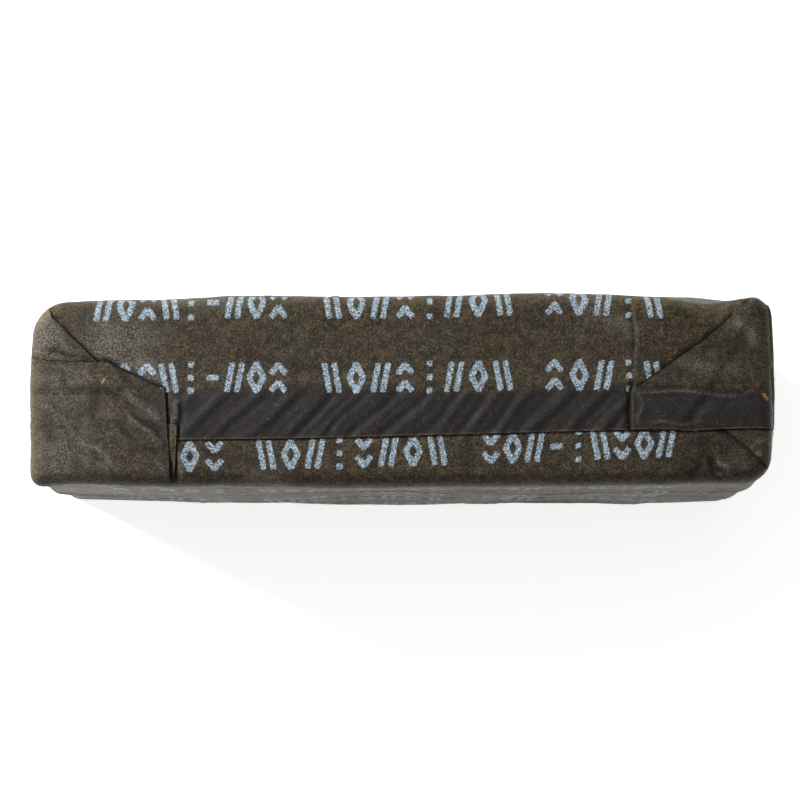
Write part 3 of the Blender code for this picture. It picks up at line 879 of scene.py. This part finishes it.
def wall_creases(x, y, z, normals):
    """Long soft folds in the paper of the large faces, and puckers by their edges."""
    flat = np.stack([x, z, np.sign(y)], axis=-1)
    sideways = np.abs(normals[..., 1])
    stretched = flat * np.array([0.35, 1.0, 1.0])
    height = 0.30 * noise(stretched, 10.0 * MM, 41) + 0.12 * noise(stretched, 4.0 * MM, 42)
    ridge = 1 - np.abs(noise(flat * np.array([0.6, 1.0, 1.0]), 13.0 * MM, 43))
    height += 0.24 * np.clip(ridge - 0.88, 0, 1) / 0.12
    pucker = np.sin(2 * math.pi * (x + 0.5 * MM * noise(flat, 5.0 * MM, 44)) / (5.2 * MM))
    patches = np.clip(noise(flat, 14.0 * MM, 45) + 0.4, 0, 1)
    height += 0.10 * pucker * smooth(46 * MM, 57 * MM, z) * patches
    return height * sideways * smooth(0.0, 5.0 * MM, TOP_LEVEL - EDGE_ROUND - z) * MM


def close_caps(mesh):
    work = bmesh.new()
    work.from_mesh(mesh)
    open_edges = [edge for edge in work.edges if edge.is_boundary]
    made = bmesh.ops.holes_fill(work, edges=open_edges, sides=0)
    bmesh.ops.triangulate(work, faces=made["faces"])
    work.to_mesh(mesh)
    work.free()


# The closure's sheets
def flap_rows(side, edge_path, narrow):
    """The plan grid of a flap from its fold to its free edge, and its outline."""
    wide = HALF_X - FLAP_FOLD_INSET
    stations = span(-wide, wide, CELL)
    fold = side * (FLAT_Y + QUARTER_ARC + ROOT_LENGTH)
    free = interpolate(edge_path, 0, stations * narrow / wide)
    count = int(round(abs(fold - free.mean()) / CELL)) + 1
    low, high = (free, np.full_like(stations, fold)) if side > 0 else (np.full_like(stations, fold), free)
    x, y = rows_between(stations, low, high, count)
    share = np.abs(y - fold) / np.abs(free - fold)[None, :]
    x = x * (1 - share * (1 - narrow / wide))
    ends = [(-wide, fold), (wide, fold), (narrow, free[-1]), (-narrow, free[0])]
    return (x, y), ends


def make_closure(paper, tuck_paper):
    back_root = FLAT_Y + QUARTER_ARC + ROOT_LENGTH
    side_root = FLAT_X + QUARTER_ARC + ROOT_LENGTH
    hidden_edge = [(-LENGTH, FRONT_FLAP_END), (LENGTH, FRONT_FLAP_END)]
    rough_seam = [(x, y + 0.04 * MM * math.sin(x * 1900)) for x, y in SEAM]
    front_grid, front = flap_rows(-1, hidden_edge, FRONT_FLAP_HALF_END)
    back_grid, back = flap_rows(1, rough_seam, BACK_FLAP_HALF_END)

    def sealed_band(x, y):
        low = smooth(-6.9 * MM, -6.2 * MM, y)
        high = smooth(1.2 * MM, -0.6 * MM, y + 0.5 * MM * np.sin(x / (7 * MM)))
        return low * high * smooth(36 * MM, 31 * MM, x)

    # painted sheen on the left part of the back flap
    def left_painted_sheen(x, y):
        first = np.exp(-(((x + 40 * MM) / (5 * MM)) ** 2) - ((y - 7 * MM) / (3.2 * MM)) ** 2)
        second = np.exp(-(((x + 37 * MM) / (3.5 * MM)) ** 2) - ((y - 2.5 * MM) / (3.0 * MM)) ** 2)
        return 0.8 * np.maximum(first, second)

    # painted sheen on the left part of the left panel
    def tuck_painted_sheen(x, y):
        lower_left = np.exp(-(((x + 48 * MM) / (4 * MM)) ** 2) - ((y + 9 * MM) / (5 * MM)) ** 2)
        upper_left = np.exp(-(((x + 47 * MM) / (4 * MM)) ** 2) - ((y - 0 * MM) / (3 * MM)) ** 2)
        return 0.55 * np.maximum(lower_left, upper_left)

    # painted shade: the left panel darker towards its right part
    def tuck_painted_shade(x, y):
        return 0.45 * smooth(-41 * MM, -36 * MM, x + 0.4 * y)

    # the dark sealed band across the right panel, with painted shade of 0.28 over the rest of it
    def right_band(x, y):
        low = smooth(-5.6 * MM, -5.0 * MM, y)
        high = smooth(0.2 * MM, -0.5 * MM, y)
        return np.maximum(1.05 * low * high, 0.28)

    # painted shade: darker towards the right end
    def right_painted_shade(x, y):
        return 0.30 * smooth(28 * MM, 42 * MM, x)

    # painted sheen on the left of the corner triangle
    def corner_painted_sheen(x, y):
        return 0.7 * smooth(-44 * MM, -49 * MM, x)

    make_sheet(
        "front_flap", front, front_grid, [],
        [(SEAM, 0.10, 0.5, 0.22), (TUCK_RAW_EDGE, 0.12, 0.6, 0.30), (PEEK_EDGE, 0.12, 0.5, 0.30),
         (RIGHT_HEM, 0.12, 0.5, 0.26), (CORNER_FOLD, 0.20, 0.4, 0.24), (LEFT_SLOT, 0.30, 0.5, 0.40),
         (RIGHT_GAP, 0.32, 0.34, 0.30)],
        [],
        {"material": paper, "slot": "waxed_paper", "printed": front_print, "seal_and_painted_shade": right_painted_shade},
    )
    make_sheet(
        "back_flap", back, back_grid, [front],
        [(LEFT_FOLD, 0.26, 0.40, 0.28), (TUCK_SHOULDER, 0.32, 0.55, 0.42),
         (TUCK_RAW_EDGE[:2], 0.22, 0.40, 0.30), (RIGHT_FOLD, 0.30, 0.50, 0.32),
         (RIGHT_GAP, 0.40, 0.34, 0.32), (PEEK_SHADOW, 0.15, 0.40, 0.26), (CORNER_HOLE, 0.33, 0.60, 0.55)],
        [rough_seam],
        {"material": paper, "slot": "waxed_paper", "printed": back_print,
         "seal_and_painted_shade": sealed_band, "painted_sheen": left_painted_sheen},
    )

    # The triangle at the back left corner runs on under the panel below it
    stations = span(-side_root, LEFT_CORNER_END, CELL)
    top = np.minimum(back_root, interpolate(CORNER_FLAP_TOP + LEFT_FOLD, 0, stations))
    low = np.full_like(stations, LEFT_CORNER_LOW)
    corner_grid = rows_between(stations, low, np.maximum(top, low + NARROWEST), count=56)
    left_corner = [
        (-side_root, back_root), (-side_root, LEFT_CORNER_LOW), (LEFT_CORNER_END, LEFT_CORNER_LOW),
    ]
    left_corner += list(reversed(CORNER_FLAP_TOP + LEFT_FOLD))
    make_sheet(
        "left_corner_tuck", left_corner, corner_grid, [front, back],
        [(CORNER_HEM, 0.14, 0.4, 0.22), (LEFT_FOLD, 0.05, 0.3, 0.12)], [],
        {"material": tuck_paper, "slot": "tuck_paper", "painted_sheen": corner_painted_sheen},
    )

    # The triangle at the front right corner runs on under the right panel
    stations = span(RIGHT_CORNER_END, side_root, CELL)
    low = interpolate(CORNER_FOLD, 0, stations)
    low = np.where(stations > CORNER_FOLD[-1][0], -back_root, low)
    high = np.full_like(stations, RIGHT_CORNER_HIGH)
    grid = rows_between(stations, np.minimum(low, high - NARROWEST), high, count=40)
    right_corner = [
        (RIGHT_CORNER_END, RIGHT_CORNER_HIGH), (side_root, RIGHT_CORNER_HIGH), (side_root, -back_root),
    ]
    right_corner += list(reversed(CORNER_FOLD))
    make_sheet(
        "right_corner_tuck", right_corner, grid, [front, back],
        [(RIGHT_HEM, 0.12, 0.5, 0.24), (CORNER_FOLD, 0.05, 0.3, 0.16)], [],
        {"material": paper, "slot": "tuck_paper", "seal_and_painted_shade": right_painted_shade},
    )

    # The second layer that peeks out beside the left panel
    rows = span(*(place[1] for place in seen(*((0, down) for down in UNDER_TUCK_PX))), CELL)
    edge = interpolate(PEEK_EDGE[2:], 1, rows)
    share = np.linspace(0.0, 1.0, 30)[None, :]
    grid = (
        UNDER_TUCK_END * (1 - share) + edge[:, None] * share,
        np.broadcast_to(rows[:, None], (len(rows), 30)).copy(),
    )
    under = [
        (UNDER_TUCK_END, rows[0]), (edge[0], rows[0]), (edge[-1], rows[-1]), (UNDER_TUCK_END, rows[-1]),
    ]
    make_sheet(
        "left_under_tuck", under, grid, [front, back, left_corner],
        [(TUCK_RAW_EDGE, 0.10, 0.4, 0.22), (LEFT_SLOT, 0.20, 0.4, 0.36)], [PEEK_EDGE[1:]],
        {"material": tuck_paper, "slot": "tuck_paper"},
    )

    # The five-sided panel at the left
    tuck_top = CORNER_HEM[:-1] + TUCK_SHOULDER
    raw_x = TUCK_RAW_EDGE[1][0]
    stations = span(-side_root, raw_x, CELL)
    high = interpolate(tuck_top, 0, stations)
    hem = seen((0, TUCK_HEM_PX))[0][1]
    bottom = hem + 0.08 * MM * np.sin(stations * 700)
    x, y = rows_between(stations, bottom, high, count=62)
    slant = interpolate(TUCK_RAW_EDGE, 1, y) - raw_x
    x = x + slant * smooth(-side_root + 8 * MM, raw_x, x)
    left = tuck_top + TUCK_RAW_EDGE[1:] + [(-side_root, hem)]
    make_sheet(
        "left_tuck", left, (x, y), [front, back, left_corner, under],
        [], [],
        {"material": tuck_paper, "slot": "tuck_paper", "painted_sheen": tuck_painted_sheen, "seal_and_painted_shade": tuck_painted_shade,
         "flakes": [(seen((103, 383), (106, 379)), 0.30), (seen((49, 404), (49.5, 405)), 0.25)]},
    )

    # The panel at the right, from its cut edge to the end of the packet
    right_top = [RIGHT_RAW_EDGE[1]] + list(reversed(RIGHT_FOLD))
    raw = RIGHT_RAW_EDGE[2][0]
    stations = span(raw, side_root, CELL)
    high = np.minimum(back_root, interpolate(right_top, 0, stations))
    high = np.where(stations > RIGHT_FOLD[0][0], back_root, high)
    low = interpolate(RIGHT_HEM, 0, stations)
    grid = rows_between(stations, low, high, count=66)
    right = list(RIGHT_HEM) + [(side_root, back_root)] + list(RIGHT_FOLD) + [RIGHT_RAW_EDGE[1]]
    make_sheet(
        "right_tuck", right, grid, [front, back, right_corner],
        [(CORNER_HOLE, 0.30, 0.50, 0.50)], [RIGHT_RAW_EDGE[1:], RIGHT_HEM],
        {"material": paper, "slot": "tuck_paper", "seal_and_painted_shade": right_band,
         "flakes": [(seen((759, 394), (762, 399)), 0.42)]},
    )


def make_fibres(material):
    """Loose paper fibres along the rubbed ends and the raw edges."""
    draw = np.random.RandomState(11)
    starts = []
    for low, high, past_low, past_high, side, count in (
        (-10.5 * MM, 6.5 * MM, 0.6 * MM, 3.2 * MM, -1.0, 150),
        (-9.0 * MM, 9.0 * MM, 1.2 * MM, 3.0 * MM, 1.0, 60),
        (-5.6 * MM, -4.6 * MM, 1.5 * MM, 2.6 * MM, 1.0, 16),
    ):
        past = draw.uniform(past_low, past_high, count)
        starts.append(np.column_stack([side * (FLAT_X + past), draw.uniform(low, high, count)]))
    seam_x = draw.uniform(-30 * MM, 44 * MM, 34)
    starts.append(np.column_stack([seam_x, interpolate(SEAM, 0, seam_x) + draw.normal(0, 0.1 * MM, 34)]))
    scattered = draw.uniform((-48 * MM, -9 * MM), (48 * MM, 9 * MM), (40, 2))
    starts = np.concatenate(starts + [scattered])
    past, _, _ = past_flat(starts[:, 0], starts[:, 1])
    rooted = smooth(ROOT_BEGIN, ROOT_END, past)
    offset = (SHEET_BASE + 0.5 * SHEET_STEP) * (1 - rooted) + (SKIN - FIBRE_RADIUS) * rooted
    flat, normals = on_core(starts[:, 0], starts[:, 1], offset)
    roots = crumple(swell(flat), normals)
    heading = draw.normal(0.0, 1.0, roots.shape)
    heading -= normals * (heading * normals).sum(axis=1)[:, None]
    heading /= np.linalg.norm(heading, axis=1)[:, None]
    sideways = np.cross(normals, heading)
    length = draw.uniform(0.35 * MM, 1.0 * MM, len(roots))
    bend = draw.normal(0.0, 0.6, len(roots))
    rise = draw.uniform(0.05, 0.55, len(roots))
    rings = []
    for share in np.linspace(0.0, 1.0, FIBRE_RINGS):
        centre = roots + heading * (length * share)[:, None]
        centre = centre + sideways * (length * bend * share**2)[:, None]
        centre = centre + normals * (length * rise * (share - 0.5 * share**2))[:, None]
        radius = FIBRE_RADIUS * (1 - 0.6 * share)
        turns = [2 * math.pi * step / 3 for step in range(3)]
        rings.append([centre + radius * (sideways * math.cos(t) + normals * math.sin(t)) for t in turns])
    places = np.transpose(np.array(rings), (2, 0, 1, 3))
    index = np.arange(places[..., 0].size).reshape(places.shape[:3])
    around = np.roll(index, -1, axis=2)
    quads = np.stack([index[:, :-1], around[:, :-1], around[:, 1:], index[:, 1:]], axis=-1)
    piece = add_mesh("packet_loose_fibres", places.reshape(-1, 3), quads.reshape(-1, 4), {}, material)
    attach(piece, "root")
    return piece


# The room: a pale floor, soft lights and the camera
FLOOR_WHITE = (0.88, 0.88, 0.88)
FLOOR_GLOW = 0.76  # keeps the packet's shadow as faint as the photograph's white ground asks
FLOOR_SIZE = 6.0
WORLD_STRENGTH = 0.20
LIGHT_TARGET = (0.0, 0.0, 0.05)


def make_room():
    material = plain_material("pale_floor", FLOOR_WHITE, 0.6)
    shader = material.node_tree.nodes["Principled BSDF"]
    shader.inputs["Emission Color"].default_value = (1.0, 1.0, 1.0, 1.0)
    shader.inputs["Emission Strength"].default_value = FLOOR_GLOW
    mesh = bpy.data.meshes.new("floor")
    half = FLOOR_SIZE / 2
    corners = [(-half, -half, 0), (half, -half, 0), (half, half, 0), (-half, half, 0)]
    mesh.from_pydata(corners, [], [(0, 1, 2, 3)])
    mesh.materials.append(material)
    floor = bpy.data.objects.new("floor", mesh)
    bpy.context.scene.collection.objects.link(floor)
    world = bpy.data.worlds.new("studio")
    world.use_nodes = True
    world.node_tree.nodes["Background"].inputs["Color"].default_value = (1.0, 1.0, 1.0, 1.0)
    world.node_tree.nodes["Background"].inputs["Strength"].default_value = WORLD_STRENGTH
    bpy.context.scene.world = world
    bpy.context.scene.view_settings.view_transform = "Standard"


def add_light(name, place, size, watts):
    data = bpy.data.lights.new(name, "AREA")
    data.shape = "RECTANGLE"
    data.size = size
    data.size_y = size
    data.energy = watts
    light = bpy.data.objects.new(name, data)
    light.location = place
    aim = Vector(LIGHT_TARGET) - Vector(place)
    light.rotation_euler = aim.to_track_quat("-Z", "Y").to_euler()
    bpy.context.scene.collection.objects.link(light)


CAMERA_DISTANCE = 0.570
CAMERA_TILT = 86.2
CAMERA_TARGET = Vector((0.0, 0.0, 0.0595))
FRAME_WIDTH_AT_TARGET = 0.1124
SENSOR_WIDTH = 36.0
CAMERA_SHIFT_X = -0.0025  # the packet lies a little off the middle of the photograph
CAMERA_SHIFT_Y = -0.010


def make_camera():
    data = bpy.data.cameras.new("camera")
    data.sensor_width = SENSOR_WIDTH
    data.lens = SENSOR_WIDTH * CAMERA_DISTANCE / FRAME_WIDTH_AT_TARGET
    data.shift_x = CAMERA_SHIFT_X
    data.shift_y = CAMERA_SHIFT_Y
    camera = bpy.data.objects.new("camera", data)
    up = math.radians(CAMERA_TILT)
    away = Vector((0.0, -math.cos(up), math.sin(up)))
    camera.location = CAMERA_TARGET + away * CAMERA_DISTANCE
    right = Vector((1.0, 0.0, 0.0))
    above = away.cross(right)
    turn = Matrix((right, above, away)).transposed()
    camera.rotation_euler = turn.to_euler()
    bpy.context.scene.collection.objects.link(camera)
    bpy.context.scene.camera = camera


make_camera()
make_room()
add_light("key", place=(-0.36, 0.22, 0.36), size=0.16, watts=3.0)
add_light("overhead", place=(-0.10, 0.15, 1.20), size=0.60, watts=1.6)
waxed = waxed_paper("waxed_paper", painted_sheen_share=0.0)
# the tuck paper is the same waxed paper with a little painted sheen over all of it
tucked = waxed_paper("tuck_paper", painted_sheen_share=0.02)
make_wrapper(waxed)
make_closure(waxed, tucked)
make_fibres(plain_material("loose_fibre", LOOSE_FIBRE_TAN, 0.8))
